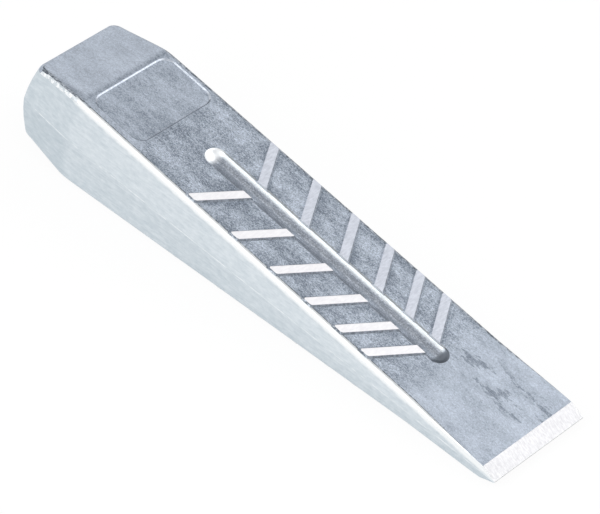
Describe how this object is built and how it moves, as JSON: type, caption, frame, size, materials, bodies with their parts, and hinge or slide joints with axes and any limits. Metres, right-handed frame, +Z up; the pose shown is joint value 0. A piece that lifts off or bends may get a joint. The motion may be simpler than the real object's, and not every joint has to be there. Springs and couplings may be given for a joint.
{
  "type": "felling wedge",
  "caption": "Solid forged aluminium felling wedge: chamfered head with a crowned striking face, chevron ribs beside a round-ended groove on both faces, ground tip.",
  "frame": {"origin": "under the middle of the wedge's length and width, in the plane of the lower rib tops that it rests on", "axes": "+X from the striking face to the tip, along the lower face; +Z up; the side seen in the picture faces -Y"},
  "size_m": [0.2594, 0.056, 0.0432],
  "materials": {
    "forged_aluminium": "as-forged satin, with milled rib tops and ground tip bevels"
  },
  "bodies": {
    "root": {"wedge_body": "forged_aluminium"}
  },
  "joints": []
}
